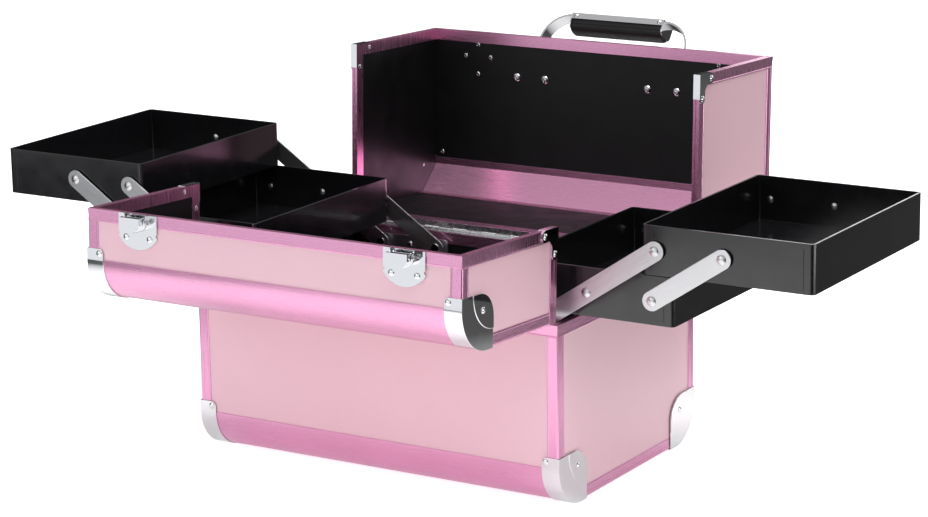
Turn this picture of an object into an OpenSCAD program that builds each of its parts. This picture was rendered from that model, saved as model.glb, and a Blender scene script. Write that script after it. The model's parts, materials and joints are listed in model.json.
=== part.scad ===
// Train case with two half lids and four cantilever trays.
// Origin: middle of the flat underside of the base. +X is the case's right, -Y its front, +Z is up.
// The lids are drawn closed and then swung open about their piano hinges.

/* [Case] */
// Length of the case from left to right
case_l = 365; // [355:1:375]
// Depth of the case from front to back
case_d = 245; // [240:1:250]
// Height of the base up to the split between base and lids
base_h = 162; // [150:1:175]
// Height of the closed lids above that split
lid_h = 148.5; // [140:0.5:160]
// Depth of the front half lid
front_lid_d = 80; // [76:1:90]
// Gap between the two closed half lids
lid_gap = 1.6; // [1.6:0.2:3]

/* [Open pose] */
// How far the front lid is swung open, in degrees
front_open = 87; // [80:1:90]
// How far the rear lid is swung open, in degrees
rear_open = 92.3; // [88:0.1:95]
// Rise of the tray arms above level when the trays are out, in degrees
arm_rise = 33.56; // [33.5:0.01:36]
// Lean of the handle away from the face of the rear lid, in degrees
handle_lean = 34; // [10:1:80]

/* [Frame] */
// Outer radius of the rounded long edges
edge_r = 37; // [34:1:40]
// Distance from the case corner to the slanted inner face of a rounded edge
slant_d = 31; // [28:1:32]
// Width of the flanges that hold the panels
flange_w = 10.5; // [9:0.5:12]
// Size of the raised bead along the outer corners
bead = 4; // [3.5:0.5:4]
// Thickness of the wall panels
panel_t = 4; // [3.5:0.5:4]
// Thickness of the chromed corner plates
cap_t = 0.8; // [0.6:0.1:1]

/* [Trays] */
// Width of a tray from left to right
tray_w = 152; // [148:1:153]
// Depth of a tray from front to back
tray_d = 213; // [208:1:213]
// Height of a tray
tray_h = 41; // [38:0.5:41]
// Wall and floor thickness of a tray
tray_t = 2; // [1.6:0.2:2.5]
// Distance between the two pivots of one tray
pivot_pitch = 60; // [58:1:60]
// Distance between two pivots along an arm
arm_pitch = 75; // [75:1:78]
// Width of an arm
arm_w = 16.5; // [14:0.5:17]

/* [Handle] */
// Length over the two legs of the handle strap
strap_l = 159; // [150:1:165]
// Reach of the handle from its pivots
strap_h = 66.5; // [58:0.5:72]
// Width of the handle strap
strap_w = 14; // [12:1:18]
// Length of the padded grip
grip_l = 100; // [90:1:104]

/* [Hidden] */

$fn = 64;
eps = 0.01;
round_fn = 48; // small rounds

// Colours
panel_pink = [0.93, 0.78, 0.81];
metal_pink = [0.86, 0.55, 0.75];
chrome = [0.82, 0.84, 0.86];
steel = [0.75, 0.75, 0.77];
black = [0.08, 0.08, 0.09];
lining_black = [0.05, 0.05, 0.06];

// Wall build-up, measured inwards from the outer face of the frame
flange_out = 0.3; // outer face of a flange
panel_out = 0.8; // outer face of a panel
lining_t = 0.5;
panel_in = panel_out + panel_t;
wall_in = panel_in + lining_t;
flange_in = wall_in + panel_out - flange_out; // inner face of an inner flange
web_t = 3; // rim channel web
lip_t = 0.7;
edge_bead_r = 0.8; // half-round bead along the end of a flange
lip_over = 1.5; // how far a lip covers the lining
skin_t = 1.8; // wall of the hollow rounded edge
mitre_gap = 0.05;

hx = case_l / 2;
hy = case_d / 2;
seat = cap_t; // the frame stands this much above the flat underside
rim_gap = 0.75; // each rim face stays this far from the split plane
rear_lid_d = case_d - front_lid_d - lid_gap;
top_z = base_h + lid_h;

// Piano hinges
hinge_out = 2; // axis outside the wall
knuckle_r = 1.8;
hinge_pin_r = 0.9;
hinge_bore_r = 0.95;
leaf_t = 0.6;
leaf_w = 5;
knuckle_pitch = 15.5;
knuckle_n = 21;
knuckle_gap = 0.4;
hinge_l = knuckle_n * knuckle_pitch;

// Rivets
rivet_r = 3;
rivet_h = 1.3;
shank_r = 1.5;

// Corner caps
cap_front = 16; // width of the strip on the rounded edge
cap_reach = 46.5; // how far the plate on the end face and the strip reach
cap_ear_r = 21.5;
cap_ear_rivet = [30, 32.5];
cap_press_r = 31; // pressed-out field round the ear's rivet
cap_press_t = 0.6;

// Rim brackets
bracket_leg = 26;
bracket_wrap = 22;
bracket_t = 0.6;

// Trays and arms
tray_y = tray_d / 2;
arm_t = 1.5;
arm_y = 108; // inner face of every arm
pivot_z = tray_h / 2;
pivot_in = 13; // first pivot from a tray's inner edge
pin_r = 2.4;
pin_bore_r = 2.45;
pin_head_r = 4.2;
pin_head_h = 1.4;
shoulder_r = 4;
arm_run = arm_pitch * cos(arm_rise);
arm_lift = arm_pitch * sin(arm_rise);
tray_gap = 4; // half the gap between the folded lower trays
long_base_x = tray_gap + pivot_in + pivot_pitch + arm_run;
short_base_x = long_base_x - pivot_pitch;
base_pivot_z = 147.5;
lower_x = long_base_x + arm_run - pivot_in - pivot_pitch; // inner edge of the lower tray
lower_z = base_pivot_z + arm_lift - pivot_z;
upper_x = long_base_x + 2 * arm_run - pivot_in;
upper_z = base_pivot_z + 2 * arm_lift - pivot_z;
plate_y = 112.3; // inner face of a pivot plate
plate_t = 1.5;

// Latches, on the closed front lid's top beside the split
latch_x = 130;
latch_w = 39;
latch_l = 30;
latch_t = 1;
latch_rivet_x = 12;
latch_rivet_d = 20;
latch_step = 0.5; // the rounded part of the plate lies this much deeper
lever_w = 20;
lever_l = 13;
lever_rise = 11.5; // top of the lever above the latch plate
lever_t = 1.4;
latch_pin_d = 5; // pin from the split
latch_pin_rise = 3.6;
latch_pin_r = 1.2;
latch_bore_r = 1.25;
ear_t = 1.4;
ear_x = lever_w / 2 + 0.4; // inner face of an ear from the latch's middle
keeper_l = 44;

// Handle, on the closed rear lid's top above the middle of the case
bracket_x = 71;
screw_pitch = 31;
handle_pivot_rise = 10;
strap_t = 2;
strap_corner_r = 30;
lug_t = 3;
bracket_plate_t = 1.5;
grip_w = 19;
grip_h = 16;
channel_w = 21; // pressed channel of the strap over the grip
channel_deep = 6;
channel_end = [15, 6]; // height and corner radius of its end plates

// ---- shared shapes ----

module dome(r, h) {
  ball = (r * r + h * h) / (2 * h);
  intersection() {
    translate([0, 0, h - ball]) sphere(ball);
    cylinder(r = r, h = h);
  }
}

// A tubular rivet along Z: head on z = 0, rolled tail below the gripped thickness.
module rivet(grip) {
  tail_r = 2.5;
  tail_h = 0.9;
  tube_r = 1;
  tube_deep = 2;
  difference() {
    union() {
      dome(rivet_r, rivet_h);
      translate([0, 0, -grip]) cylinder(r = shank_r, h = grip);
      translate([0, 0, -grip]) mirror([0, 0, 1]) dome(tail_r, tail_h);
    }
    translate([0, 0, -grip - tail_h - eps]) cylinder(r = tube_r, h = tube_deep);
  }
}

// A pan-head screw along Z: cross-slotted head below the gripped thickness, domed nut on z = 0.
module screw(grip) {
  head_r = 4.2;
  head_h = 2.2;
  slot_w = 1;
  slot_deep = 1;
  nut_r = 3.6;
  nut_h = 1.8;
  difference() {
    union() {
      dome(nut_r, nut_h);
      translate([0, 0, -grip]) cylinder(r = shank_r, h = grip);
      translate([0, 0, -grip]) mirror([0, 0, 1]) dome(head_r, head_h);
    }
    for (a = [0, 90]) rotate([0, 0, a]) translate([-head_r / 2, -slot_w / 2, -grip - head_h - eps])
      cube([head_r, slot_w, slot_deep]);
  }
}

module both_ends() {
  children();
  mirror([1, 0, 0]) children();
}

module both_sides() {
  children();
  mirror([0, 1, 0]) children();
}

module rounded_rect(w, d, r) {
  translate([r, 0]) square([w - 2 * r, d]);
  translate([0, r]) square([w, d - 2 * r]);
  for (x = [r, w - r], y = [r, d - r]) translate([x, y]) circle(r, $fn = round_fn);
}

// Lays a shape drawn in (depth from the long face, distance from the flat face) along the length.
// The result runs from x = -length/2 to length/2 with depth along Y and distance along Z.
module along_x(length) {
  rotate([90, 0, 90]) translate([0, 0, -length / 2]) linear_extrude(length) children();
}

// ---- frame sections ----

// Half-round bead on the outer face of a flange, at the flange's end.
module edge_bead() {
  intersection() {
    translate([0, flange_w - 2 * edge_bead_r]) square([panel_out, 2 * edge_bead_r]);
    translate([panel_out, flange_w - edge_bead_r]) circle(edge_bead_r, $fn = round_fn);
  }
}

// L section for a corner between two walls, outer corner at the origin.
module corner_section() {
  difference() {
    union() {
      translate([flange_out, flange_out]) square([flange_w, panel_out - flange_out]);
      translate([flange_out, flange_out]) square([panel_out - flange_out, flange_w]);
      square(bead);
      edge_bead();
      mirror([1, -1]) edge_bead();
    }
    difference() {
      translate([-eps, -eps]) square(bead / 2 + eps);
      translate([bead / 2, bead / 2]) circle(bead / 2, $fn = round_fn);
    }
  }
}

// Channel section over a wall's free edge: depth through the wall along X, height into it along Y.
module rim_section() {
  groove_w = 1.6;
  groove_deep = 0.7;
  difference() {
    union() {
      square([flange_in, web_t]);
      square([panel_out, bead]);
      translate([flange_out, 0]) square([panel_out - flange_out, flange_w]);
      translate([wall_in, 0]) square([flange_in - wall_in, flange_w]);
      edge_bead();
    }
    translate([flange_in / 2 - groove_w / 2, -eps]) square([groove_w, groove_deep + eps]);
  }
}

// A length of rim channel along X, from 0 to length. A mitre across the wall ("wall") turns the
// corner to the next wall; a mitre up the wall ("face") turns the corner on the same wall.
module rim_bar(length, start, stop) {
  difference() {
    translate([mitre_gap, 0, 0]) rotate([90, 0, 90])
      linear_extrude(length - 2 * mitre_gap) rim_section();
    mitre(start);
    translate([length, 0, 0]) mirror([1, 0, 0]) mitre(stop);
  }
}

module mitre(kind) {
  far = flange_w + 2;
  cut = [[-1, -1 - mitre_gap], [far, far - mitre_gap], [-1, far - mitre_gap]];
  if (kind == "wall") translate([0, 0, -1]) linear_extrude(far + 1) polygon(cut);
  if (kind == "face") translate([0, far, 0]) rotate([90, 0, 0]) linear_extrude(far + 1) polygon(cut);
}

// Hollow rounded edge with a slanted inner face, corner of the case at the origin.
module edge_section() {
  far = edge_r + 1;
  hollow = slant_d + wall_in - skin_t * sqrt(2);
  difference() {
    union() {
      intersection() {
        square(edge_r);
        translate([edge_r, edge_r]) circle(edge_r, $fn = 128);
      }
      translate([wall_in, slant_d]) square([lip_t, edge_r + lip_over - slant_d]);
      translate([slant_d, wall_in]) square([edge_r + lip_over - slant_d, lip_t]);
    }
    polygon([
      [slant_d, wall_in + lip_t], [slant_d - lip_t, wall_in + lip_t], [wall_in + lip_t, slant_d - lip_t],
      [wall_in + lip_t, slant_d], [wall_in + lip_t, far], [far, far], [far, wall_in + lip_t]]);
    translate([edge_r, wall_in]) square([far, far]);
    intersection() {
      translate([edge_r, edge_r]) circle(edge_r - skin_t, $fn = 128);
      polygon([[skin_t, skin_t], [hollow - skin_t, skin_t], [skin_t, hollow - skin_t]]);
    }
  }
}

// Part of an end wall that fills the end of a rounded edge.
module edge_end(inset) {
  intersection() {
    square(edge_r);
    translate([edge_r, edge_r]) circle(edge_r - inset, $fn = 128);
  }
}

// Chromed cap over one corner of the case. X runs in from the end face, Y from the long face and
// Z from the flat face; the plates lie outside the frame.
module corner_cap() {
  rivet_corner = 5;
  strip_len = cap_front + cap_t;
  translate([-cap_t, 0, 0]) rotate([90, 0, 90]) linear_extrude(cap_t) cap_face();
  translate([-cap_t - cap_press_t, 0, 0]) rotate([90, 0, 90]) linear_extrude(cap_press_t) intersection() {
    cap_face();
    translate([cap_reach, cap_reach]) circle(cap_press_r, $fn = 128);
  }
  intersection() {
    translate([-cap_t, 0, 0]) rotate([90, 0, 90]) linear_extrude(strip_len) cap_strip();
    translate([0, cap_reach, 0]) rotate([90, 0, 0]) linear_extrude(cap_reach + 2 * cap_t) {
      translate([-cap_t, -cap_t]) square([strip_len, cap_reach - rivet_corner + cap_t]);
      translate([-cap_t, 0]) square([strip_len - rivet_corner, cap_reach]);
      translate([cap_front - rivet_corner, cap_reach - rivet_corner]) circle(rivet_corner);
    }
  }
  translate([-cap_t, edge_r, -cap_t]) cube([flange_w + cap_t, cap_reach - edge_r, cap_t]);
}

module cap_outer() {
  big = cap_reach + cap_t;
  intersection() {
    translate([-cap_t, -cap_t]) square(big);
    union() {
      translate([edge_r, edge_r]) circle(edge_r + cap_t, $fn = 128);
      translate([edge_r, -cap_t]) square(big);
      translate([-cap_t, edge_r]) square(big);
    }
  }
}

module cap_face() {
  ear = cap_reach - cap_ear_r;
  intersection() {
    cap_outer();
    union() {
      translate([-cap_t, -cap_t]) square([cap_reach + cap_t, ear + cap_t]);
      translate([-cap_t, -cap_t]) square([ear + cap_t, cap_reach + cap_t]);
      translate([ear, ear]) circle(cap_ear_r, $fn = 96);
    }
  }
}

module cap_strip() {
  intersection() {
    translate([-cap_t, -cap_t]) square([edge_r + cap_t, cap_reach + cap_t]);
    difference() {
      cap_outer();
      translate([edge_r, edge_r]) circle(edge_r, $fn = 128);
      translate([0, edge_r]) square(cap_reach);
      translate([edge_r, 0]) square(cap_reach);
    }
  }
}

// The two rivets of a corner cap, in the cap's own axes.
module cap_rivets() {
  strip_in = 4; // from the strip's free corner
  over = cap_t + cap_press_t;
  translate([-over, cap_ear_rivet[0], cap_ear_rivet[1]]) rotate([0, -90, 0]) rivet(wall_in + over);
  translate([cap_front - strip_in, -cap_t, cap_reach - strip_in]) rotate([90, 0, 0])
    rivet(wall_in + cap_t);
}

// Places a right-hand corner in the cap's axes at one end of the case.
module at_base_corner() {
  translate([hx, -hy, seat]) mirror([1, 0, 0]) children();
}

module at_lid_corner() {
  translate([hx, -hy, top_z]) mirror([1, 0, 0]) rotate([-90, 0, 0]) children();
}

// ---- base ----

base_top = base_h - rim_gap;
panel_top = base_top - web_t;

module base_long_panels() {
  color(panel_pink) both_sides()
    translate([-hx + bead, -hy + panel_out, seat + edge_r])
      cube([case_l - 2 * bead, panel_t, panel_top - seat - edge_r]);
}

module base_end_panels() {
  color(panel_pink) both_ends() translate([hx - panel_out, 0, 0]) rotate([90, 0, -90])
    linear_extrude(panel_t) both_ends() {
      translate([-hy, seat]) edge_end(panel_out);
      translate([-hy + panel_in, seat + edge_r]) square([hy - panel_in + eps, panel_top - seat - edge_r]);
      translate([-hy + edge_r, seat + bead]) square([hy - edge_r + eps, edge_r - bead]);
    }
}

module base_floor_panel() {
  half_x = hx - flange_w - flange_out;
  half_y = hy - edge_r;
  color(panel_pink) translate([-half_x, -half_y, 0]) cube([2 * half_x, 2 * half_y, seat + bead]);
}

module base_edge_rails() {
  color(metal_pink) both_sides() translate([0, -hy, seat])
    along_x(case_l - 2 * panel_in) edge_section();
}

// Upright corner sections, and the ones along the lower edges of the end walls with a thick sole.
module base_corner_rails() {
  half_y = hy - edge_r;
  low = seat + edge_r;
  color(metal_pink) both_ends() {
    both_sides() translate([hx, -hy, low]) mirror([1, 0, 0])
      linear_extrude(base_top - flange_w - low) corner_section();
    translate([hx, half_y, seat]) rotate([90, 0, 0]) linear_extrude(2 * half_y) mirror([1, 0]) {
      corner_section();
      translate([bead, flange_out]) square([flange_w + flange_out - bead, bead - flange_out]);
    }
  }
}

module base_rim() {
  color(metal_pink) {
    both_sides() translate([-hx, -hy, base_top]) mirror([0, 0, 1]) rim_bar(case_l, "wall", "wall");
    both_ends() translate([hx, -hy, base_top]) mirror([0, 0, 1]) rotate([0, 0, 90])
      rim_bar(case_d, "wall", "wall");
  }
}

module base_lining() {
  floor_z = seat + bead;
  color(lining_black) {
    both_sides() translate([-hx + wall_in, -hy + panel_in, seat + edge_r])
      cube([case_l - 2 * wall_in, lining_t, panel_top - seat - edge_r]);
    both_ends() translate([hx - panel_in, 0, 0]) rotate([90, 0, -90]) linear_extrude(lining_t) both_ends()
      polygon([
        [eps, floor_z], [-hy + slant_d + lip_t + lip_over, floor_z], [-hy + slant_d + lip_t, floor_z + wall_in],
        [-hy + wall_in + lip_t, seat + slant_d + lip_t], [-hy + wall_in + lip_t, seat + edge_r + lip_over],
        [-hy + wall_in, seat + edge_r + lip_over], [-hy + wall_in, panel_top], [eps, panel_top]]);
    translate([-hx + wall_in, -hy + edge_r, floor_z])
      cube([case_l - 2 * wall_in, case_d - 2 * edge_r, lining_t]);
  }
}

module base_corner_caps() {
  color(chrome) both_ends() both_sides() at_base_corner() corner_cap();
}

// Cap rivets, and on each long wall the headed pins and the middle rivet of the pivot plates.
module base_rivets() {
  color(chrome) both_ends() both_sides() {
    at_base_corner() cap_rivets();
    for (x = [long_base_x, short_base_x]) translate([x, 0, base_pivot_z]) base_pin();
    translate([(long_base_x + short_base_x) / 2, -plate_y, base_pivot_z]) rotate([-90, 0, 0])
      rivet(hy - panel_in - plate_y);
  }
}

module base_pin() {
  head_t = 0.7;
  head_gap = 0.15;
  translate([0, -arm_y + head_gap, 0]) rotate([90, 0, 0])
    cylinder(r = pin_r, h = plate_y + plate_t - arm_y + head_gap);
  translate([0, -arm_y + head_gap + head_t, 0]) rotate([90, 0, 0]) cylinder(r = pin_head_r, h = head_t);
}

module pivot_plates() {
  plate_h = 15;
  over = 11;
  boss_r = 3.2;
  color(steel) both_ends() both_sides() {
    translate([short_base_x - over, -plate_y, base_pivot_z - plate_h / 2]) rotate([90, 0, 0])
      linear_extrude(plate_t) rounded_rect(pivot_pitch + 2 * over, plate_h, 4);
    for (x = [long_base_x, short_base_x, (long_base_x + short_base_x) / 2])
      translate([x, -plate_y - plate_t, base_pivot_z]) rotate([90, 0, 0])
        cylinder(r = boss_r, h = hy - wall_in - plate_y - plate_t);
  }
}

// ---- piano hinges, drawn for the front ----

module hinge_bored() {
  difference() {
    children();
    translate([0, -hy - hinge_out, base_h]) rotate([0, 90, 0])
      cylinder(r = hinge_bore_r, h = hinge_l + 2, center = true);
  }
}

// One leaf; first is 0 for the base's leaf and 1 for the lid's, side is -1 below and 1 above.
module hinge_leaf(first, side) {
  low = side > 0 ? rim_gap - leaf_t : -rim_gap;
  hinge_bored() {
    translate([-hinge_l / 2, -hy, base_h + low]) cube([hinge_l, leaf_w, leaf_t]);
    for (i = [first : 2 : knuckle_n - 1]) translate([-hinge_l / 2 + i * knuckle_pitch + knuckle_gap / 2, 0, 0]) {
      translate([0, -hy - hinge_out, base_h]) rotate([0, 90, 0])
        cylinder(r = knuckle_r, h = knuckle_pitch - knuckle_gap);
      translate([0, -hy - hinge_out, base_h + low])
        cube([knuckle_pitch - knuckle_gap, hinge_out + eps, leaf_t]);
    }
  }
}

module hinge_pin() {
  translate([0, -hy - hinge_out, base_h]) rotate([0, 90, 0])
    cylinder(r = hinge_pin_r, h = hinge_l, center = true);
}

module opened(angle) {
  translate([0, -hy - hinge_out, base_h]) rotate([angle, 0, 0]) translate([0, hy + hinge_out, -base_h])
    children();
}

module front_side() {
  opened(front_open) children();
}

module rear_side() {
  mirror([0, 1, 0]) opened(rear_open) children();
}

module front_hinge_base_leaf() { color(steel) hinge_leaf(0, -1); }
module rear_hinge_base_leaf() { color(steel) mirror([0, 1, 0]) hinge_leaf(0, -1); }
module front_hinge_lid_leaf() { color(steel) front_side() hinge_leaf(1, 1); }
module rear_hinge_lid_leaf() { color(steel) rear_side() hinge_leaf(1, 1); }
module front_hinge_pin() { color(steel) front_side() hinge_pin(); }
module rear_hinge_pin() { color(steel) rear_side() hinge_pin(); }

// ---- a half lid, drawn closed at the front; depth is its size from front to back ----

lid_low = base_h + rim_gap;
lid_panel_low = lid_low + web_t;

module lid_top_panel(depth) {
  translate([-hx + bead, -hy + edge_r, top_z - panel_in])
    cube([case_l - 2 * bead, depth - edge_r - web_t, panel_t]);
}

module lid_wall_panel() {
  translate([-hx + bead, -hy + panel_out, lid_panel_low])
    cube([case_l - 2 * bead, panel_t, top_z - edge_r - lid_panel_low]);
}

module lid_end_panels(depth) {
  both_ends() translate([hx - panel_in, 0, 0]) rotate([90, 0, 90]) linear_extrude(panel_t) {
    translate([-hy, top_z]) mirror([0, 1]) edge_end(panel_out);
    translate([-hy + panel_in, lid_panel_low])
      square([depth - panel_in - web_t, top_z - edge_r - lid_panel_low]);
    translate([-hy + edge_r, top_z - edge_r]) square([depth - edge_r - web_t, edge_r - panel_in]);
  }
}

module lid_edge_rail() {
  translate([0, -hy, top_z]) mirror([0, 0, 1]) along_x(case_l - 2 * panel_in) edge_section();
}

// Corner sections up the end walls' outer corners and along their top edges.
module lid_corner_rails(depth) {
  low = lid_low + flange_w;
  both_ends() {
    translate([hx, -hy, low]) mirror([1, 0, 0]) linear_extrude(top_z - edge_r - low) corner_section();
    translate([hx, -hy + edge_r, top_z]) mirror([1, 0, 0]) rotate([-90, 0, 0])
      linear_extrude(depth - edge_r - flange_w) corner_section();
  }
}

module lid_rim(depth) {
  split_y = -hy + depth;
  wall_h = top_z - lid_low;
  translate([-hx, -hy, lid_low]) rim_bar(case_l, "wall", "wall");
  translate([-hx, split_y, top_z]) rotate([-90, 0, 0]) mirror([0, 0, 1]) rim_bar(case_l, "wall", "wall");
  both_ends() {
    translate([hx, -hy, lid_low]) rotate([0, 0, 90]) rim_bar(depth, "wall", "face");
    translate([hx, split_y, lid_low]) rim_up(wall_h);
  }
}

// The channel up an end wall's split edge: bar axis up, wall depth towards -X, height into it along -Y.
module rim_up(length) {
  rotate([90, -90, 0]) rim_bar(length, "face", "wall");
}

module lid_lining(depth) {
  deep = depth - web_t;
  high = top_z - edge_r - lid_panel_low;
  translate([-hx + wall_in, -hy + panel_in, lid_panel_low]) cube([case_l - 2 * wall_in, lining_t, high]);
  translate([-hx + wall_in, -hy + edge_r, top_z - wall_in])
    cube([case_l - 2 * wall_in, deep - edge_r, lining_t]);
  both_ends() translate([hx - wall_in, 0, 0]) rotate([90, 0, 90]) linear_extrude(lining_t)
    polygon([
      [-hy + wall_in, lid_panel_low], [-hy + deep, lid_panel_low], [-hy + deep, top_z - wall_in],
      [-hy + edge_r + lip_over, top_z - wall_in], [-hy + edge_r + lip_over, top_z - wall_in - lip_t],
      [-hy + slant_d, top_z - wall_in - lip_t], [-hy + wall_in + lip_t, top_z - slant_d],
      [-hy + wall_in + lip_t, top_z - edge_r - lip_over], [-hy + wall_in, top_z - edge_r - lip_over]]);
}

module lid_corner_caps() {
  both_ends() at_lid_corner() corner_cap();
}

// Chromed bracket over an end wall's free corner, with wraps over both rim faces.
// X runs out of the end face, Y in from the split and Z up from the rim.
module rim_bracket() {
  w = flange_w - 1;
  end_r = w / 2;
  rotate([90, 0, 90]) linear_extrude(cap_t) union() {
    square([bracket_leg - end_r, w]);
    square([w, bracket_leg - end_r]);
    translate([bracket_leg - end_r, end_r]) circle(end_r);
    translate([end_r, bracket_leg - end_r]) circle(end_r);
    polygon([[w, w], [w + end_r, w], [w, w + end_r]]);
  }
  translate([-flange_in, -bracket_t, -bracket_t]) cube([flange_in + cap_t, bracket_t, bracket_wrap]);
  translate([-flange_in, -bracket_t, -bracket_t]) cube([flange_in + cap_t, bracket_wrap, bracket_t]);
}

module at_bracket(depth) {
  both_ends() translate([hx, -hy + depth, lid_low]) mirror([0, 1, 0]) children();
}

module bracket_rivets() {
  along = bracket_leg - (flange_w - 1) / 2;
  across = (flange_w - 1) / 2;
  for (p = [[along, across], [across, along]])
    translate([cap_t, p[0], p[1]]) rotate([0, 90, 0]) rivet(flange_in + cap_t);
}

// ---- front lid ----

module front_lid_top_panel() { color(panel_pink) front_side() lid_top_panel(front_lid_d); }
module front_lid_wall_panel() { color(panel_pink) front_side() lid_wall_panel(); }
module front_lid_end_panels() { color(panel_pink) front_side() lid_end_panels(front_lid_d); }
module front_lid_edge_rail() { color(metal_pink) front_side() lid_edge_rail(); }
module front_lid_corner_rails() { color(metal_pink) front_side() lid_corner_rails(front_lid_d); }
module front_lid_rim() { color(metal_pink) front_side() lid_rim(front_lid_d); }
module front_lid_lining() { color(lining_black) front_side() lid_lining(front_lid_d); }
module front_lid_corner_caps() { color(chrome) front_side() lid_corner_caps(); }
module front_lid_rim_brackets() { color(chrome) front_side() at_bracket(front_lid_d) rim_bracket(); }

module front_lid_rivets() {
  color(chrome) front_side() {
    both_ends() at_lid_corner() cap_rivets();
    at_bracket(front_lid_d) bracket_rivets();
    both_ends() at_latch() for (x = [-latch_rivet_x, latch_rivet_x])
      translate([x, latch_rivet_d, latch_t - latch_step]) rivet(wall_in + latch_t - latch_step);
  }
}

// Middle of the right-hand latch at the split: X across, Y away from the split, Z out of the lid.
module at_latch() {
  translate([latch_x, -hy + front_lid_d, top_z]) mirror([0, 1, 0]) children();
}

// Riveted plate with a pressed step, a rounded lower part and two ears that hold the lever's pin.
module latch_plate() {
  straight = 17;
  notch_r = 1.2;
  arc_r = 24;
  ear_r = 3;
  linear_extrude(latch_t) latch_outline(0, straight, notch_r, arc_r);
  translate([0, 0, -latch_step]) linear_extrude(latch_t) latch_outline(straight - latch_t, latch_l, notch_r, arc_r);
  difference() {
    for (x = [-ear_x - ear_t, ear_x]) translate([x, 0, 0]) rotate([90, 0, 90]) linear_extrude(ear_t) {
      square([latch_pin_d + ear_r, latch_t + latch_pin_rise]);
      translate([latch_pin_d, latch_t + latch_pin_rise]) circle(ear_r);
    }
    latch_axis(latch_bore_r, latch_w);
  }
}

// The part of the plate's outline between two distances from the split.
module latch_outline(from, to, notch_r, arc_r) {
  straight = 17;
  difference() {
    intersection() {
      translate([-latch_w / 2, from]) square([latch_w, to - from]);
      union() {
        translate([-latch_w / 2, 0]) square([latch_w, straight]);
        translate([0, latch_l - arc_r]) circle(arc_r, $fn = 96);
      }
    }
    for (x = [-latch_w / 2, latch_w / 2]) translate([x, straight]) circle(notch_r, $fn = 32);
  }
}

module latch_axis(r, length) {
  translate([0, latch_pin_d, latch_t + latch_pin_rise]) rotate([0, 90, 0])
    cylinder(r = r, h = length, center = true);
}

module latch_plates() { color(chrome) front_side() both_ends() at_latch() latch_plate(); }

module latch_pins() {
  head_r = 2;
  head_t = 1;
  reach = ear_x + ear_t + 0.1; // head's inner face from the latch's middle
  color(steel) front_side() both_ends() at_latch() {
    latch_axis(latch_pin_r, 2 * reach + head_t);
    for (s = [-1, 1]) translate([s * (reach + head_t / 2), 0, 0]) latch_axis(head_r, head_t);
  }
}

// Thumb lever: a drawn D-shaped cup that turns on the pin, with its open side to the plate.
module latch_lever() {
  nose = 1.5; // flat side from the split
  nose_h = 6;
  wall_low = latch_t + 0.4;
  eye_r = 2.8;
  rise = latch_t + lever_rise;
  pin_z = latch_t + latch_pin_rise;
  eye_x = lever_w / 2 - lever_t;
  color(chrome) difference() {
    union() {
      translate([0, nose, rise - lever_t]) linear_extrude(lever_t) lever_outline(0);
      translate([0, nose, rise - nose_h]) linear_extrude(nose_h) difference() {
        lever_outline(0);
        lever_outline(lever_t);
      }
      translate([0, nose, wall_low]) linear_extrude(rise - wall_low) difference() {
        lever_outline(0);
        lever_outline(lever_t);
        translate([-lever_w, -lever_w + latch_pin_d - nose]) square([2 * lever_w, lever_w]);
      }
      for (x = [-lever_w / 2, eye_x]) translate([x, 0, 0]) rotate([90, 0, 90]) linear_extrude(lever_t) {
        translate([nose, pin_z]) square([2 * eye_r, rise - pin_z]);
        translate([latch_pin_d, pin_z]) circle(eye_r);
      }
    }
    latch_axis(latch_bore_r, latch_w);
  }
}

// D outline of the lever from its flat side.
module lever_outline(inset) {
  round_r = lever_w / 2;
  intersection() {
    translate([-round_r, inset]) square([lever_w, lever_l]);
    union() {
      translate([-round_r + inset, 0]) square([lever_w - 2 * inset, lever_l - round_r]);
      translate([0, lever_l - round_r]) circle(round_r - inset);
    }
  }
}

module right_latch_lever() { front_side() at_latch() latch_lever(); }
module left_latch_lever() { front_side() mirror([1, 0, 0]) at_latch() latch_lever(); }

// ---- rear lid ----

module rear_lid_top_panel() { color(panel_pink) rear_side() lid_top_panel(rear_lid_d); }
module rear_lid_wall_panel() { color(panel_pink) rear_side() lid_wall_panel(); }
module rear_lid_end_panels() { color(panel_pink) rear_side() lid_end_panels(rear_lid_d); }
module rear_lid_edge_rail() { color(metal_pink) rear_side() lid_edge_rail(); }
module rear_lid_corner_rails() { color(metal_pink) rear_side() lid_corner_rails(rear_lid_d); }
module rear_lid_rim() { color(metal_pink) rear_side() lid_rim(rear_lid_d); }
module rear_lid_lining() { color(lining_black) rear_side() lid_lining(rear_lid_d); }
module rear_lid_corner_caps() { color(chrome) rear_side() lid_corner_caps(); }
module rear_lid_rim_brackets() { color(chrome) rear_side() at_bracket(rear_lid_d) rim_bracket(); }

// Rivet places on a keeper: across it, and away from the split.
keeper_rivets = [[0, 12], [-14, 24], [14, 24], [0, 41]];

module rear_lid_rivets() {
  color(chrome) rear_side() {
    both_ends() at_lid_corner() cap_rivets();
    at_bracket(rear_lid_d) bracket_rivets();
    both_ends() at_keeper() for (p = keeper_rivets) translate([p[0], p[1], latch_t]) rivet(wall_in + latch_t);
  }
}

module at_keeper() {
  translate([latch_x, -hy + rear_lid_d, top_z]) mirror([0, 1, 0]) children();
}

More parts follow.
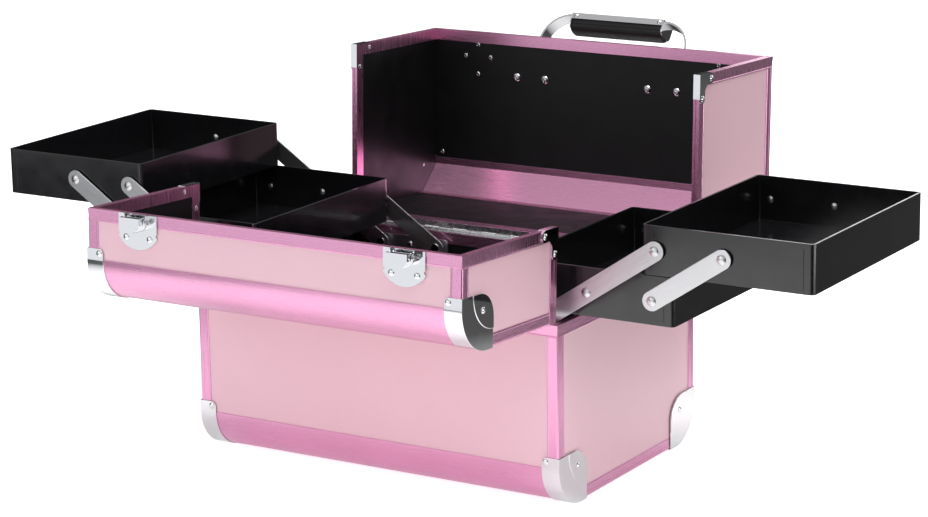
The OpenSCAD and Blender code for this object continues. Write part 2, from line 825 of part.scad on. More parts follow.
// Riveted plate that tapers to a round end, with a raised hook for the latch beside the split.
module latch_keepers() {
  end_r = 7;
  shoulder_y = 26;
  taper_y = keeper_l - 4;
  hook_y = 2;
  hook_t = 1.5;
  hook_h = 5;
  hook_l = 4.5;
  color(chrome) rear_side() both_ends() at_keeper() {
    linear_extrude(latch_t) {
      translate([-latch_w / 2, 0]) square([latch_w, shoulder_y]);
      polygon([[-latch_w / 2, shoulder_y], [latch_w / 2, shoulder_y], [end_r, taper_y],
        [-end_r, taper_y]]);
      translate([0, keeper_l - end_r]) circle(end_r);
    }
    translate([-lever_w / 2, hook_y, 0]) cube([lever_w, hook_t, hook_h]);
    translate([-lever_w / 2, hook_y, hook_h - hook_t]) cube([lever_w, hook_l, hook_t]);
  }
}

// ---- handle ----

// Pivot line of the handle on the closed rear lid: Z out of the lid, Y away from the rear wall.
module at_handle() {
  rear_side() translate([0, 0, top_z]) children();
}

lug_x = strap_l / 2 - strap_t - lug_t - 0.5;

module handle_brackets() {
  plate_w = 16;
  plate_l = screw_pitch + 15;
  lug_r = 6;
  color(chrome) at_handle() both_ends() difference() {
    union() {
      translate([bracket_x - plate_l / 2, -plate_w / 2, 0]) linear_extrude(bracket_plate_t)
        rounded_rect(plate_l, plate_w, 6);
      translate([lug_x, 0, 0]) rotate([90, 0, 90]) linear_extrude(lug_t) {
        translate([-lug_r, 0]) square([2 * lug_r, handle_pivot_rise]);
        translate([0, handle_pivot_rise]) circle(lug_r);
      }
    }
    translate([lug_x - 1, 0, handle_pivot_rise]) rotate([0, 90, 0]) cylinder(r = pin_r, h = lug_t + 2);
  }
}

// Screws of the brackets, and the headed pins that the handle turns on.
module handle_screws() {
  head_gap = 0.4;
  pin_end = strap_l / 2 + head_gap;
  color(chrome) at_handle() both_ends() {
    for (s = [-1, 1]) translate([bracket_x + s * screw_pitch / 2, 0, bracket_plate_t])
      screw(wall_in + bracket_plate_t);
    translate([0, 0, handle_pivot_rise]) rotate([0, 90, 0]) {
      translate([0, 0, lug_x]) cylinder(r = pin_r, h = pin_end - lug_x);
      translate([0, 0, pin_end]) dome(pin_head_r, pin_head_h);
      translate([0, 0, lug_x]) mirror([0, 0, 1]) dome(pin_head_r, pin_head_h);
    }
  }
}

// The handle's own plane: X along the grip, Y from the pivots towards the grip, Z across the strap.
module handle_plane() {
  at_handle() translate([0, 0, handle_pivot_rise]) rotate([handle_lean, 0, 0]) children();
}

module strap_outline(inset) {
  half = strap_l / 2 - inset;
  top = strap_h - inset;
  r = strap_corner_r - inset;
  intersection() {
    translate([-half, -handle_pivot_rise]) square([2 * half, top + handle_pivot_rise]);
    union() {
      translate([-half, -handle_pivot_rise]) square([2 * half, top - r + handle_pivot_rise]);
      translate([-half + r, 0]) square([2 * (half - r), top]);
      for (s = [-1, 1]) translate([s * (half - r), top - r]) circle(r, $fn = 96);
    }
  }
}

// Strap of the handle: two legs with eyes, and a channel with end plates that holds the grip.
module handle_strap() {
  foot_r = 6.5;
  foot_l = 16;
  color(chrome) handle_plane() {
    translate([0, 0, -strap_w / 2]) linear_extrude(strap_w) difference() {
      strap_outline(0);
      strap_outline(strap_t);
      translate([-strap_l, -strap_h]) square([2 * strap_l, strap_h + foot_l]);
    }
    both_ends() difference() {
      translate([strap_l / 2 - strap_t, 0, 0]) rotate([90, 0, 90]) linear_extrude(strap_t) {
        circle(foot_r);
        translate([0, -foot_r]) square([foot_l, 2 * foot_r]);
        polygon([[foot_l - foot_r, -foot_r], [foot_l, -strap_w / 2], [foot_l, strap_w / 2],
          [foot_l - foot_r, foot_r]]);
      }
      translate([strap_l / 2 - strap_t - 1, 0, 0]) rotate([0, 90, 0])
        cylinder(r = pin_bore_r, h = strap_t + 2);
    }
    handle_channel();
  }
}

module handle_channel() {
  wall = (channel_w - grip_w) / 2;
  half = grip_l / 2;
  end_h = channel_end[0];
  end_r = channel_end[1];
  translate([-half, strap_h - strap_t, -channel_w / 2]) cube([grip_l, strap_t, channel_w]);
  for (z = [-channel_w / 2, channel_w / 2 - wall]) translate([-half, strap_h - channel_deep, z])
    cube([grip_l, channel_deep, wall]);
  both_ends() translate([half - wall, strap_h, 0]) rotate([0, 90, 0]) linear_extrude(wall) {
    translate([-channel_w / 2, -end_h + end_r]) square([channel_w, end_h - end_r]);
    translate([-channel_w / 2 + end_r, -end_h]) square([channel_w - 2 * end_r, end_h]);
    for (s = [-1, 1]) translate([s * (channel_w / 2 - end_r), -end_h + end_r]) circle(end_r);
  }
}

module handle_grip() {
  length = grip_l - channel_w + grip_w;
  color(black) handle_plane() translate([-length / 2, strap_h - strap_t - grip_h, -grip_w / 2])
    linear_extrude(grip_w) difference() {
      square([length, grip_h]);
      for (x = [0, length]) translate([x, 0]) grip_notch();
    }
}

// Quarter-round cut that rounds a lower corner of the grip.
module grip_notch() {
  r = 3;
  difference() {
    square(2 * r, center = true);
    for (x = [-r, r]) translate([x, r]) circle(r);
  }
}

// Rivets through the channel's sides near its ends.
module handle_rivets() {
  in_x = 5;
  down = channel_deep / 2;
  color(chrome) handle_plane() both_ends() translate([grip_l / 2 - in_x, strap_h - down, 0]) {
    for (side = [0, 180]) rotate([side, 0, 0]) translate([0, 0, channel_w / 2]) {
      dome(rivet_r * 0.8, rivet_h * 0.8);
      translate([0, 0, -2]) cylinder(r = shank_r, h = 2);
    }
  }
}

// ---- trays and arms, drawn on the right ----

module tray(x, z) {
  corner_r = 4;
  groove_in = 9;
  groove_w = 0.6;
  groove_deep = 0.3;
  translate([x, -tray_y, z]) difference() {
    linear_extrude(tray_h) rounded_rect(tray_w, tray_d, corner_r);
    translate([tray_t, tray_t, tray_t]) linear_extrude(tray_h)
      rounded_rect(tray_w - 2 * tray_t, tray_d - 2 * tray_t, corner_r - tray_t);
    for (gx = [groove_in, tray_w - groove_in], gy = [0, tray_d])
      translate([gx - groove_w / 2, gy - groove_deep, 4]) cube([groove_w, 2 * groove_deep, tray_h - 8]);
  }
}

// Headed pivot pins in a tray's front and rear walls, at these distances from its inner edge.
module tray_pins(x, z, places) {
  head_gap = 0.2;
  tail_h = 1;
  color(chrome) both_sides() for (p = places) translate([x + p, 0, z + pivot_z]) {
    translate([0, -tray_y + tray_t, 0]) rotate([90, 0, 0])
      cylinder(r = pin_r, h = arm_y + arm_t + head_gap - tray_y + tray_t);
    translate([0, -tray_y, 0]) rotate([90, 0, 0]) cylinder(r = shoulder_r, h = arm_y - tray_y - head_gap);
    translate([0, -arm_y - arm_t - head_gap, 0]) rotate([90, 0, 0]) dome(pin_head_r, pin_head_h);
    translate([0, -tray_y + tray_t, 0]) rotate([-90, 0, 0]) dome(rivet_r, tail_h);
  }
}

// A pair of arms from a pivot, rising outwards, bored at these distances along it.
module arm_pair(x, z, bores) {
  length = bores[len(bores) - 1];
  color(steel) both_sides() translate([x, -arm_y, z]) rotate([0, -arm_rise, 0]) rotate([90, 0, 0])
    difference() {
      linear_extrude(arm_t) {
        translate([0, -arm_w / 2]) square([length, arm_w]);
        circle(arm_w / 2);
        translate([length, 0]) circle(arm_w / 2);
      }
      for (b = bores) translate([b, 0, -1]) cylinder(r = pin_bore_r, h = arm_t + 2);
    }
}

lower_pins = [pivot_in, pivot_in + pivot_pitch, pivot_in + 2 * pivot_pitch];
upper_pins = [pivot_in, pivot_in + pivot_pitch];

module lower_tray() { color(black) tray(lower_x, lower_z); }
module upper_tray() { color(black) tray(upper_x, upper_z); }
module lower_tray_pins() { tray_pins(lower_x, lower_z, lower_pins); }
module upper_tray_pins() { tray_pins(upper_x, upper_z, upper_pins); }
module long_arms() { arm_pair(long_base_x, base_pivot_z, [0, arm_pitch, 2 * arm_pitch]); }
module base_arms() { arm_pair(short_base_x, base_pivot_z, [0, arm_pitch]); }
module link_arms() { arm_pair(lower_x + lower_pins[2], lower_z + pivot_z, [0, arm_pitch]); }

module left_lower_tray() { mirror([1, 0, 0]) lower_tray(); }
module left_upper_tray() { mirror([1, 0, 0]) upper_tray(); }
module right_lower_tray() { lower_tray(); }
module right_upper_tray() { upper_tray(); }
module left_lower_tray_pins() { mirror([1, 0, 0]) lower_tray_pins(); }
module left_upper_tray_pins() { mirror([1, 0, 0]) upper_tray_pins(); }
module right_lower_tray_pins() { lower_tray_pins(); }
module right_upper_tray_pins() { upper_tray_pins(); }
module left_long_arms() { mirror([1, 0, 0]) long_arms(); }
module right_long_arms() { long_arms(); }
module left_base_arms() { mirror([1, 0, 0]) base_arms(); }
module right_base_arms() { base_arms(); }
module left_link_arms() { mirror([1, 0, 0]) link_arms(); }
module right_link_arms() { link_arms(); }

base_long_panels();
base_end_panels();
base_floor_panel();
base_edge_rails();
base_corner_rails();
base_rim();
base_lining();
base_corner_caps();
base_rivets();
pivot_plates();
front_hinge_base_leaf();
rear_hinge_base_leaf();
front_lid_top_panel();
front_lid_wall_panel();
front_lid_end_panels();
front_lid_edge_rail();
front_lid_corner_rails();
front_lid_rim();
front_lid_lining();
front_lid_corner_caps();
front_lid_rim_brackets();
front_lid_rivets();
front_hinge_lid_leaf();
front_hinge_pin();
latch_plates();
latch_pins();
left_latch_lever();
right_latch_lever();
rear_lid_top_panel();
rear_lid_wall_panel();
rear_lid_end_panels();
rear_lid_edge_rail();
rear_lid_corner_rails();
rear_lid_rim();
rear_lid_lining();
rear_lid_corner_caps();
rear_lid_rim_brackets();
rear_lid_rivets();
rear_hinge_lid_leaf();
rear_hinge_pin();
latch_keepers();
handle_brackets();
handle_screws();
handle_strap();
handle_grip();
handle_rivets();
left_lower_tray();
left_upper_tray();
right_lower_tray();
right_upper_tray();
left_lower_tray_pins();
left_upper_tray_pins();
right_lower_tray_pins();
right_upper_tray_pins();
left_long_arms();
right_long_arms();
left_base_arms();
right_base_arms();
left_link_arms();
right_link_arms();
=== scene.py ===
"""Looks of the makeup train case: its CAD frame, materials, padded grip, studio and camera."""

import json
import math

import bmesh
import bpy
from mathutils import Matrix, Vector, noise


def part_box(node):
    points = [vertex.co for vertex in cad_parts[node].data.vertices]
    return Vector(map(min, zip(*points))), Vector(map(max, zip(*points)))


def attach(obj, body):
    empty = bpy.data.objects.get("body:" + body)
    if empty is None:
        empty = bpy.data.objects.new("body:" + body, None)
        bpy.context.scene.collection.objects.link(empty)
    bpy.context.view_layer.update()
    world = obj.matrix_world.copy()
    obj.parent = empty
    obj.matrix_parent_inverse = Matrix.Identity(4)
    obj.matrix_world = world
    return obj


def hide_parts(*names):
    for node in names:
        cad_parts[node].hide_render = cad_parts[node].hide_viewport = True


MM = 0.001

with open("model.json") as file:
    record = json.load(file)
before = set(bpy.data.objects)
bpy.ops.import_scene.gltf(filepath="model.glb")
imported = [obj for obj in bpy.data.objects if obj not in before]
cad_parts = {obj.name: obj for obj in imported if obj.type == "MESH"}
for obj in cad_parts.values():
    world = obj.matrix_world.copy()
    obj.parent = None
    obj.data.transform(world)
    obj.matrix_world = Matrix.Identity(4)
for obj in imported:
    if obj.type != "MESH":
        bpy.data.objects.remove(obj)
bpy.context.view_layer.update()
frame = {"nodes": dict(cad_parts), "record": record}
nodes = frame["nodes"]
record = frame["record"]
bpy.context.scene.view_settings.view_transform = "Standard"


# ---- node helpers ----

NOISE_SPAN = (0.3, 0.7)  # where most of a noise texture's values lie
LINE_FINENESS = 5200  # scale of drawn lines across and along the metal
LINE_LENGTHENING = 40
X, Y, Z = range(3)


class Shader:
    """A Principled material with short calls for its node tree."""

    def __init__(self, name, color, metallic=0.0, roughness=0.4, **inputs):
        self.material = bpy.data.materials.new(name)
        self.material.use_nodes = True
        self.tree = self.material.node_tree
        self.surface = self.tree.nodes["Principled BSDF"]
        self.surface.inputs["Base Color"].default_value = (*color, 1)
        self.surface.inputs["Metallic"].default_value = metallic
        self.surface.inputs["Roughness"].default_value = roughness
        for key, value in inputs.items():
            self.surface.inputs[key.replace("_", " ")].default_value = value
        self.position = self.node("ShaderNodeTexCoord").outputs["Object"]
        self.bumped = None

    def node(self, kind, **settings):
        made = self.tree.nodes.new(kind)
        for key, value in settings.items():
            setattr(made, key, value)
        return made

    def link(self, source, target):
        self.tree.links.new(source, target)

    def math(self, operation, a, b=None):
        made = self.node("ShaderNodeMath", operation=operation)
        for socket, value in zip(made.inputs, (a, b)):
            if isinstance(value, (int, float)):
                socket.default_value = value
            elif value is not None:
                self.link(value, socket)
        return made.outputs[0]

    def mapped(self, scale, turn):
        """The rest position, turned and then stretched."""
        turned = self.node("ShaderNodeVectorRotate", rotation_type="EULER_XYZ")
        turned.inputs["Rotation"].default_value = turn
        self.link(self.position, turned.inputs["Vector"])
        scaled = self.node("ShaderNodeVectorMath", operation="MULTIPLY")
        scaled.inputs[1].default_value = scale
        self.link(turned.outputs[0], scaled.inputs[0])
        return scaled.outputs[0]

    def noise(self, scale, detail=2.0, where=None, rough=0.5):
        made = self.node("ShaderNodeTexNoise")
        made.inputs["Scale"].default_value = scale
        made.inputs["Detail"].default_value = detail
        made.inputs["Roughness"].default_value = rough
        self.link(where or self.position, made.inputs["Vector"])
        return made.outputs["Fac"]

    def axis(self, index):
        made = self.node("ShaderNodeSeparateXYZ")
        self.link(self.position, made.inputs[0])
        return made.outputs[index]

    def span(self, value, low, high, to_low, to_high):
        """The value, moved from one range to another and kept inside it."""
        made = self.node("ShaderNodeMapRange")
        for socket, number in zip(list(made.inputs)[1:5], (low, high, to_low, to_high)):
            socket.default_value = number
        self.link(value, made.inputs[0])
        return made.outputs[0]

    def bump(self, height, distance, strength):
        """Adds relief on top of any relief the material already has."""
        made = self.node("ShaderNodeBump")
        made.inputs["Distance"].default_value = distance
        made.inputs["Strength"].default_value = strength
        self.link(height, made.inputs["Height"])
        if self.bumped:
            self.link(self.bumped, made.inputs["Normal"])
        self.bumped = made.outputs["Normal"]
        self.link(self.bumped, self.surface.inputs["Normal"])

    def rough(self, value, low, high):
        """Lets a noise move the roughness between low and high."""
        self.link(self.span(value, *NOISE_SPAN, low, high), self.surface.inputs["Roughness"])

    def shade(self, value, dark, light):
        """Multiplies the base colour by a factor between dark and light."""
        factor = self.span(value, *NOISE_SPAN, dark, light)
        scaled = self.node("ShaderNodeVectorMath", operation="SCALE")
        scaled.inputs[0].default_value = self.surface.inputs["Base Color"].default_value[:3]
        self.link(factor, scaled.inputs["Scale"])
        self.link(scaled.outputs[0], self.surface.inputs["Base Color"])


def lines_along(shader, along, turn=(0, 0, 0)):
    """Fine noise drawn out along one axis."""
    scale = [LINE_FINENESS] * 3
    scale[along] = LINE_LENGTHENING
    return shader.noise(1.0, 2, shader.mapped(scale, turn))


def chosen(shader, first, second, where):
    """The first value where `where` is 0, the second where it is 1."""
    mixed = shader.node("ShaderNodeMix", data_type="FLOAT")
    shader.link(where, mixed.inputs[0])
    shader.link(first, mixed.inputs[2])
    shader.link(second, mixed.inputs[3])
    return mixed.outputs[0]


# ---- materials ----

# Base colours, linear.
PANEL = (0.82, 0.53, 0.60)
ANODISED = (0.75, 0.36, 0.55)
CHROME = (0.74, 0.745, 0.76)
ZINC = (0.62, 0.62, 0.63)
BAR = (0.60, 0.60, 0.61)
TRAY_BLACK = (0.006, 0.006, 0.007)
LINING_BLACK = (0.005, 0.005, 0.0055)
GRIP_BLACK = (0.004, 0.004, 0.0045)


def panel_skin():
    made = Shader("panel_skin", PANEL, roughness=0.34, Specular_IOR_Level=0.45, Coat_Weight=0.15,
                  Coat_Roughness=0.25)
    made.bump(made.noise(1800, 3), 0.05 * MM, 0.5)
    made.bump(made.noise(22, 2), 0.6 * MM, 0.25)
    made.rough(made.noise(60, 4), 0.30, 0.42)
    made.shade(made.noise(9, 3), 0.985, 1.01)
    return made.material


def anodised(name, lines_of):
    """Anodised extrusion; lines_of(shader) gives the noise of its drawn lines."""
    made = Shader(name, ANODISED, metallic=0.95, roughness=0.3, Coat_Weight=0.15,
                  Coat_Roughness=0.12)
    lines = lines_of(made)
    made.bump(lines, 0.006 * MM, 0.15)
    made.rough(lines, 0.25, 0.30)
    made.shade(made.noise(14, 2), 0.97, 1.02)
    return made.material


def along_only(axis):
    """Lines along one axis, everywhere."""
    return lambda shader: lines_along(shader, axis)


def along_two(axis_in, axis_out, across, limit, absolute=False):
    """Lines along axis_in below the limit of coordinate `across`, and along axis_out above it."""

    def build(shader):
        place = shader.axis(across)
        if absolute:
            place = shader.math("ABSOLUTE", place)
        above = shader.math("GREATER_THAN", place, limit)
        return chosen(shader, lines_along(shader, axis_in), lines_along(shader, axis_out), above)

    return build


def chrome_plate():
    made = Shader("chrome_plate", CHROME, metallic=1.0, roughness=0.05)
    made.bump(made.noise(60, 1), 0.06 * MM, 0.15)
    made.rough(made.noise(160, 5, rough=0.7), 0.03, 0.09)
    return made.material


def zinc_plate():
    made = Shader("zinc_plate", ZINC, metallic=1.0, roughness=0.3)
    made.bump(made.noise(300, 1), 0.01 * MM, 0.1)
    made.rough(made.noise(220, 4), 0.22, 0.32)
    made.shade(made.noise(120, 3), 0.95, 1.03)
    return made.material


def brushed_bar(name, turn):
    made = Shader(name, BAR, metallic=1.0, roughness=0.34)
    lines = lines_along(made, X, turn)
    made.bump(lines, 0.015 * MM, 0.4)
    made.rough(lines, 0.27, 0.38)
    made.shade(lines, 0.95, 1.03)
    return made.material


def tray_plastic():
    made = Shader("tray_plastic", TRAY_BLACK, roughness=0.14, Specular_IOR_Level=0.6,
                  Coat_Weight=0.2, Coat_Roughness=0.06)
    made.bump(made.noise(18, 2), 1.2 * MM, 0.3)
    made.bump(made.noise(1500, 2), 0.01 * MM, 0.5)
    made.rough(made.noise(70, 5, rough=0.65), 0.12, 0.24)
    return made.material


def lining_sheet():
    made = Shader("lining_sheet", LINING_BLACK, roughness=0.42, Specular_IOR_Level=0.3)
    made.bump(made.noise(1200, 3), 0.06 * MM, 0.7)
    made.bump(made.noise(16, 2), 1.0 * MM, 0.3)
    made.rough(made.noise(45, 4), 0.36, 0.5)
    return made.material


def grip_leather():
    made = Shader("grip_leather", GRIP_BLACK, roughness=0.45, Specular_IOR_Level=0.3)
    cells = made.node("ShaderNodeTexVoronoi", feature="F1")
    cells.inputs["Scale"].default_value = 1300
    made.link(made.position, cells.inputs["Vector"])
    made.bump(cells.outputs["Distance"], 0.12 * MM, 0.7)
    made.rough(made.noise(200, 4), 0.38, 0.55)
    return made.material


# ---- CAD nodes ----

RAIL_REACH = 14 * MM  # how far a corner rail's own direction reaches from its end
RIM_REACH = 13 * MM
WELD_GAP = 0.002 * MM
FLAT_ANGLE = math.radians(0.6)
SHARP_ANGLE = math.radians(40)

joints = {joint["name"]: joint for joint in record["behaviour"]["joints"]}


def joint_point(name):
    return Vector(joints[name]["pos_m"])


def arm_angle(side):
    """Slope of a long arm at rest, from its own pivot to the lower tray's."""
    run = joint_point(f"{side}_lower_tray_pivot") - joint_point(f"{side}_trays_fold")
    return math.atan2(run.z, run.x)


base_low, base_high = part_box("base_corner_rails")
post_foot = base_low.z + RAIL_REACH
front_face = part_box("front_lid_corner_rails")[0].y + RAIL_REACH
rear_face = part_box("rear_lid_corner_rails")[1].y - RAIL_REACH
bar_end = base_high.x - RIM_REACH

panel = panel_skin()
chrome = chrome_plate()
zinc = zinc_plate()
tray = tray_plastic()
lining = lining_sheet()
leather = grip_leather()
plate = brushed_bar("brushed_plate", (0, 0, 0))
rail_long = anodised("rail_long", along_only(X))
rail_base_corner = anodised("rail_base_corner", along_two(Y, Z, Z, post_foot))
rail_front_corner = anodised("rail_front_corner", along_two(Z, Y, Y, front_face))
rail_rear_corner = anodised("rail_rear_corner", along_two(Y, Z, Y, rear_face))
rim_base = anodised("rim_base", along_two(X, Y, X, bar_end, absolute=True))
rim_lid = anodised("rim_lid", along_two(X, Z, X, bar_end, absolute=True))

MATERIAL_OF = {
    "base_edge_rails": rail_long,
    "front_lid_edge_rail": rail_long,
    "rear_lid_edge_rail": rail_long,
    "base_corner_rails": rail_base_corner,
    "front_lid_corner_rails": rail_front_corner,
    "rear_lid_corner_rails": rail_rear_corner,
    "base_rim": rim_base,
    "front_lid_rim": rim_lid,
    "rear_lid_rim": rim_lid,
}
SLOT_MATERIAL = {
    "case_panels": panel,
    "frame_extrusions": rail_long,
    "lining": lining,
    "chrome_hardware": chrome,
    "steel_hardware": zinc,
    "trays": tray,
    "handle_grip": leather,
}
AS_CUT = ("case_panels", "lining", "steel_hardware")  # their edges are hidden or too small to see
EDGE_ROUND = {
    "frame_extrusions": 0.35 * MM,
    "chrome_hardware": 0.3 * MM,
    "brushed_arms": 0.3 * MM,
    "trays": 0.5 * MM,
    "handle_grip": 0.5 * MM,
}
slot_of = {part["node"]: part["material_slot"] for part in record["subparts"]}
bar_of = {
    side: brushed_bar(f"brushed_bar_{side}", (0, arm_angle(side), 0)) for side in ("left", "right")
}


def dress(name, node):
    """Gives a CAD node its material and rounds its edges."""
    slot = slot_of[name]
    if name in MATERIAL_OF:
        material = MATERIAL_OF[name]
    elif slot == "brushed_arms":
        material = bar_of.get(name.split("_")[0], plate)
    else:
        material = SLOT_MATERIAL[slot]
    node.data.materials.clear()
    node.data.materials.append(material)
    if slot in AS_CUT:
        return
    for polygon in node.data.polygons:
        polygon.use_smooth = True
    weld = node.modifiers.new("weld", "WELD")
    weld.merge_threshold = WELD_GAP
    flat = node.modifiers.new("flat", "DECIMATE")
    flat.decimate_type = "DISSOLVE"
    flat.angle_limit = FLAT_ANGLE
    edges = node.modifiers.new("edges", "BEVEL")
    edges.width = EDGE_ROUND[slot]
    edges.segments = 2
    edges.limit_method = "ANGLE"
    edges.angle_limit = SHARP_ANGLE
    edges.use_clamp_overlap = True
    normals = node.modifiers.new("normals", "WEIGHTED_NORMAL")
    normals.keep_sharp = False


for name, node in nodes.items():
    dress(name, node)


# ---- padded grip ----

GRIP_STATIONS = 97  # along the sleeve
GRIP_POINTS = 96  # round its section
GRIP_SQUARENESS = 3.4  # exponent of the section's outline: 2 is an ellipse
GRIP_SLACK = 0.99  # share of the CAD grip's width
CROWN = 0.10  # how much the underside lifts towards its edges
UNDERSIDE_TAPER = 0.04
SEAM_DEEP = 0.5 * MM
SEAM_HALF_WIDTH = 0.09  # of the half height
SEAM_PLACE = -0.25
SEAM_SIDE = 0.8  # the seam is only in the outer part of the width
END_ROUND = 3.5 * MM
END_PULL = 0.16  # how much the underside is drawn up at the ends
END_PULL_ACROSS = 0.6  # of that, across
RUMPLE = 0.12 * MM
RUMPLE_SCALE = 120


def handle_axes():
    """The grip's middle, its up direction away from the pivots, and its direction across."""
    low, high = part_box("handle_grip")
    middle = (low + high) / 2
    up = middle - joint_point("handle_pivot")
    up.x = 0
    up.normalize()
    return middle, up, Vector((1, 0, 0)).cross(up)


def grip_size(middle, up, across):
    """Half sizes of the CAD grip along x, up and across."""
    points = [v.co - middle for v in nodes["handle_grip"].data.vertices]
    return [max(abs(p.dot(d)) for p in points) for d in (Vector((1, 0, 0)), up, across)]


def grip_section(angle, half_up, half_across):
    """A point of the sleeve's section: flat under the strap, crowned below, a seam on each side."""
    c, s = math.cos(angle), math.sin(angle)
    radius = (abs(c) ** GRIP_SQUARENESS + abs(s) ** GRIP_SQUARENESS) ** (-1 / GRIP_SQUARENESS)
    x, y = radius * c, radius * s
    crown = 1 - CROWN * x * x if y < 0 else 1
    pull = 0
    if abs(x) > SEAM_SIDE:
        pull = SEAM_DEEP * math.exp(-((y - SEAM_PLACE) / SEAM_HALF_WIDTH) ** 2)
    return (half_across - pull) * x * (1 - UNDERSIDE_TAPER * max(0, -y)), half_up * y * crown


def end_shrink(x, half_x):
    """Share of the section's height at x: less close to the ends."""
    into_end = max(0.0, (abs(x) - half_x + END_ROUND) / END_ROUND)
    return 1 - END_PULL * (1 - math.sqrt(max(0.0, 1 - into_end**2)))


def grip_mesh():
    """The sleeve: a crowned closed form with pulled-in ends."""
    middle, up, across = handle_axes()
    half_x, half_up, half_across = grip_size(middle, up, across)
    mesh = bmesh.new()
    rings = []
    for i in range(GRIP_STATIONS):
        x = half_x * math.sin(math.pi * (i / (GRIP_STATIONS - 1) - 0.5))
        shrink = end_shrink(x, half_x)
        ring = []
        for k in range(GRIP_POINTS):
            a, b = grip_section(2 * math.pi * k / GRIP_POINTS, half_up, half_across)
            if b < 0:
                b *= shrink
            a *= 1 - (1 - shrink) * END_PULL_ACROSS
            if b < 0:
                b += RUMPLE * noise.noise(Vector((x, a, b)) * RUMPLE_SCALE)
            place = middle + Vector((x, 0, 0)) + across * (a * GRIP_SLACK) + up * b
            ring.append(mesh.verts.new(place))
        rings.append(ring)
    for first, second in zip(rings, rings[1:]):
        for k in range(GRIP_POINTS):
            following = (k + 1) % GRIP_POINTS
            mesh.faces.new((first[k], first[following], second[following], second[k]))
    mesh.faces.new(rings[0])
    mesh.faces.new(list(reversed(rings[-1])))
    bmesh.ops.recalc_face_normals(mesh, faces=mesh.faces)
    data = bpy.data.meshes.new("grip_sleeve")
    mesh.to_mesh(data)
    mesh.free()
    for polygon in data.polygons:
        polygon.use_smooth = len(polygon.vertices) == 4
    return data


grip = bpy.data.objects.new("grip_sleeve", grip_mesh())
bpy.context.scene.collection.objects.link(grip)
grip.data.materials.append(leather)
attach(grip, "handle")
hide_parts("handle_grip")


# ---- studio ----

FLOOR_SIZE = 60
FLOOR_WHITE = (0.93, 0.93, 0.935)
# A painted pool of light on the floor, as the case's own surfaces see it: a base colour pale inside
# NEAR_EDGE, dark beyond FAR_EDGE. Where the camera sees the floor itself, it is plain white
# everywhere.
PAINTED_POOL_NEAR = 0.95
PAINTED_POOL_FAR = 0.05
NEAR_EDGE = 0.38
FAR_EDGE = 0.66
PAINTED_POOL_MIDDLE = (0, -0.30, 0)  # the painted pool of light is an oval that reaches to the front
PAINTED_POOL_SHAPE = (1, 0.62, 1)
PAINTED_POOL_GLOW = 0.28  # painted glow: emission of the painted pool, which adds light to the case from below
FLOOR_GLOW = 0.75  # only where the camera sees the floor itself, so that it stays white

# Height of the direction's Z, and the sky's brightness there.
SKY_STOPS = ((0.0, 0.08), (0.12, 0.05), (0.30, 0.16), (0.55, 0.45), (1.0, 0.65))
SKY_BLUE = 1.01


def make_floor():
    """The stage: a large sheet of paper, its colour and emission a painted pool of light as the
    case sees it.
    """
    bpy.ops.mesh.primitive_plane_add(size=FLOOR_SIZE, location=(0, 0, 0))
    floor = bpy.context.object
    floor.name = "floor"
    paper = Shader("floor_paper_painted_pool", FLOOR_WHITE, roughness=0.6, Specular_IOR_Level=0.2,
                   Emission_Color=(1, 1, 1, 1))
    seen = paper.node("ShaderNodeLightPath").outputs["Is Camera Ray"]
    offset = paper.node("ShaderNodeVectorMath", operation="SUBTRACT")
    offset.inputs[1].default_value = PAINTED_POOL_MIDDLE
    paper.link(paper.position, offset.inputs[0])
    shaped = paper.node("ShaderNodeVectorMath", operation="MULTIPLY")
    shaped.inputs[1].default_value = PAINTED_POOL_SHAPE
    paper.link(offset.outputs[0], shaped.inputs[0])
    away = paper.node("ShaderNodeVectorMath", operation="LENGTH")
    paper.link(shaped.outputs[0], away.inputs[0])
    distance = away.outputs["Value"]
    # Painted pool of light: base colour and emission fade with distance from the pool's middle, for
    # every ray but the camera's.
    painted_pool_tone = paper.span(distance, NEAR_EDGE, FAR_EDGE, PAINTED_POOL_NEAR, PAINTED_POOL_FAR)
    painted_pool_glow = paper.span(distance, NEAR_EDGE, FAR_EDGE, PAINTED_POOL_GLOW, 0)
    pool_or_white_glow = paper.math("MAXIMUM", painted_pool_glow, paper.math("MULTIPLY", seen, FLOOR_GLOW))
    paper.link(pool_or_white_glow, paper.surface.inputs["Emission Strength"])
    pool_or_white_tone = paper.math("MAXIMUM", painted_pool_tone, paper.math("MULTIPLY", seen, FLOOR_WHITE[0]))
    tone = paper.node("ShaderNodeCombineColor")
    for socket in tone.inputs:
        paper.link(pool_or_white_tone, socket)
    paper.link(tone.outputs[0], paper.surface.inputs["Base Color"])
    floor.data.materials.append(paper.material)


def make_sky():
    """Bright overhead and darker towards the horizon, for metal and gloss to reflect."""
    world = bpy.data.worlds.new("studio_sky")
    bpy.context.scene.world = world
    world.use_nodes = True
    tree = world.node_tree
    background = tree.nodes["Background"]
    direction = tree.nodes.new("ShaderNodeTexCoord")
    parts = tree.nodes.new("ShaderNodeSeparateXYZ")
    ramp = tree.nodes.new("ShaderNodeValToRGB")
    tree.links.new(direction.outputs["Generated"], parts.inputs[0])
    tree.links.new(parts.outputs["Z"], ramp.inputs["Fac"])
    tree.links.new(ramp.outputs["Color"], background.inputs["Color"])
    elements = ramp.color_ramp.elements
    while len(elements) < len(SKY_STOPS):
        elements.new(0.5)
    for element, (place, value) in zip(elements, SKY_STOPS):
        element.position = place
        element.color = (value, value, value * SKY_BLUE, 1)
    background.inputs["Strength"].default_value = 1.0


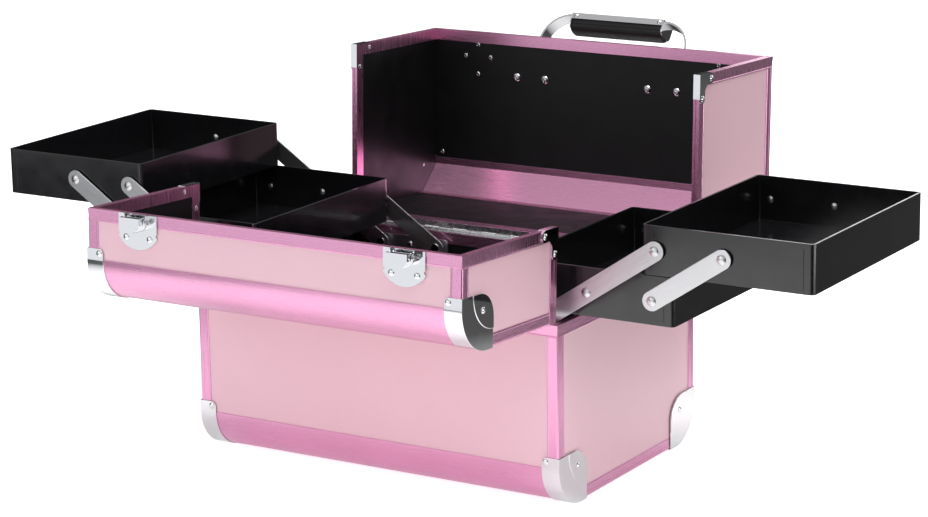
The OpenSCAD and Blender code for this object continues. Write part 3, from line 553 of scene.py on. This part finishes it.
def softbox(name, place, aim, size, power, color=(1, 1, 1)):
    """A rectangular lamp that the camera does not see."""
    data = bpy.data.lights.new(name, "AREA")
    data.shape = "RECTANGLE"
    data.size, data.size_y = size
    data.energy = power
    data.color = color
    lamp = bpy.data.objects.new(name, data)
    lamp.location = place
    lamp.visible_camera = False
    lamp.rotation_euler = (Vector(aim) - Vector(place)).to_track_quat("-Z", "Y").to_euler()
    bpy.context.scene.collection.objects.link(lamp)


make_floor()
make_sky()
softbox("top", (0.45, 0.0, 2.3), (0.1, 0.0, 0), (1.3, 1.3), 40)
softbox("key", (-1.2, -2.6, 1.5), (0, -0.1, 0.1), (1.4, 1.2), 5)
softbox("front_card", (-0.30, -1.00, 0.36), (-0.20, 0, 0.20), (1.9, 0.68), 4.0, (0.95, 0.97, 1))
softbox("right_card", (1.2, 0.05, 0.18), (0, 0, 0.10), (1.0, 0.34), 3.8)
softbox("back_card", (0.2, 1.9, 0.5), (0, 0, 0.15), (1.8, 0.7), 9)


# ---- camera ----

CAMERA_AZIMUTH = math.radians(31.642)
CAMERA_ELEVATION = math.radians(13.861)
CAMERA_ROLL = math.radians(-0.930)
CAMERA_DISTANCE = 2.588
CAMERA_LENS = 113.65
CAMERA_SENSOR = 36
CAMERA_AIM = Vector((0, 0, 0.150))
AIM_RIGHT = 0.01544
AIM_UP = 0.01976


def make_camera():
    """The camera looks at CAMERA_AIM from its azimuth and elevation, moved a little and rolled."""
    az, el, roll = CAMERA_AZIMUTH, CAMERA_ELEVATION, CAMERA_ROLL
    back = Vector((math.sin(az) * math.cos(el), -math.cos(az) * math.cos(el), math.sin(el)))
    level = Vector((math.cos(az), math.sin(az), 0))
    upright = back.cross(level)
    right = level * math.cos(roll) + upright * math.sin(roll)
    up = upright * math.cos(roll) - level * math.sin(roll)
    data = bpy.data.cameras.new("camera")
    data.lens = CAMERA_LENS
    data.sensor_width = CAMERA_SENSOR
    data.sensor_fit = "HORIZONTAL"
    camera = bpy.data.objects.new("camera", data)
    place = CAMERA_AIM + back * CAMERA_DISTANCE + right * AIM_RIGHT + up * AIM_UP
    turn = Matrix((right, up, back)).transposed().to_4x4()
    camera.matrix_world = Matrix.Translation(place) @ turn
    bpy.context.scene.collection.objects.link(camera)
    bpy.context.scene.camera = camera


make_camera()
